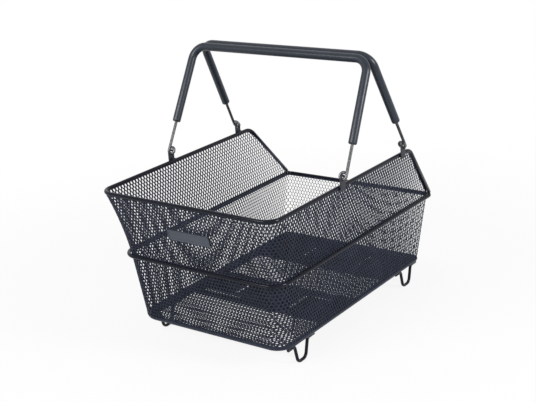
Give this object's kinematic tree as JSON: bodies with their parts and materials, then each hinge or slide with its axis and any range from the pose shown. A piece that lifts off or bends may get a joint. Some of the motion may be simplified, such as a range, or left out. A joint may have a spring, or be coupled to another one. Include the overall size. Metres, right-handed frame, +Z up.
{
  "type": "mesh carrier basket",
  "caption": "Open steel mesh basket with a low rear end, rim and ring wires, wire feet, carrier plates under its floor and a pair of folding carrying handles with soft grips.",
  "frame": {"origin": "on the ground under the middle of the basket, between its four feet", "axes": "+X across the basket to its right, +Y from the tall front end to the low rear end, +Z up"},
  "size_m": [0.3456, 0.4736, 0.4294],
  "materials": {
    "mesh_coat": "semi-gloss black powder coat on expanded steel mesh",
    "wire_coat": "semi-gloss black powder coat on round steel wire",
    "tab_steel": "satin dark grey coat on pressed steel",
    "handle_steel": "satin grey metallic coat on steel wire",
    "grip_rubber": "smooth matt slate grey sleeve",
    "plate_plastic": "satin slate grey moulding, bare",
    "carrier_coat": "satin black coat on sheet steel"
  },
  "bodies": {
    "basket": {"floor_mesh": "mesh_coat", "front_wall_mesh": "mesh_coat", "rear_wall_mesh": "mesh_coat", "left_wall_mesh": "mesh_coat", "right_wall_mesh": "mesh_coat", "front_left_corner_mesh": "mesh_coat", "front_right_corner_mesh": "mesh_coat", "rear_left_corner_mesh": "mesh_coat", "rear_right_corner_mesh": "mesh_coat", "rim_wire": "wire_coat", "ring_wire": "wire_coat", "front_left_foot": "wire_coat", "front_right_foot": "wire_coat", "rear_left_foot": "wire_coat", "rear_right_foot": "wire_coat", "front_left_tab": "tab_steel", "front_right_tab": "tab_steel", "rear_left_tab": "tab_steel", "rear_right_tab": "tab_steel", "front_carrier_plate": "carrier_coat", "rear_carrier_plate": "carrier_coat", "name_plate": "plate_plastic"},
    "front_handle": {"front_handle_wire": "handle_steel", "front_handle_grip": "grip_rubber"},
    "rear_handle": {"rear_handle_wire": "handle_steel", "rear_handle_grip": "grip_rubber"}
  },
  "joints": [
    {"name": "front_handle_fold", "type": "hinge", "parent": "basket", "child": "front_handle", "pos_m": [0, -0.0625, 0.263], "axis": [1, 0, 0], "range_deg": [0, 116]},
    {"name": "rear_handle_fold", "type": "hinge", "parent": "basket", "child": "rear_handle", "pos_m": [0, 0.1149, 0.263], "axis": [-1, 0, 0], "range_deg": [0, 135]}
  ]
}
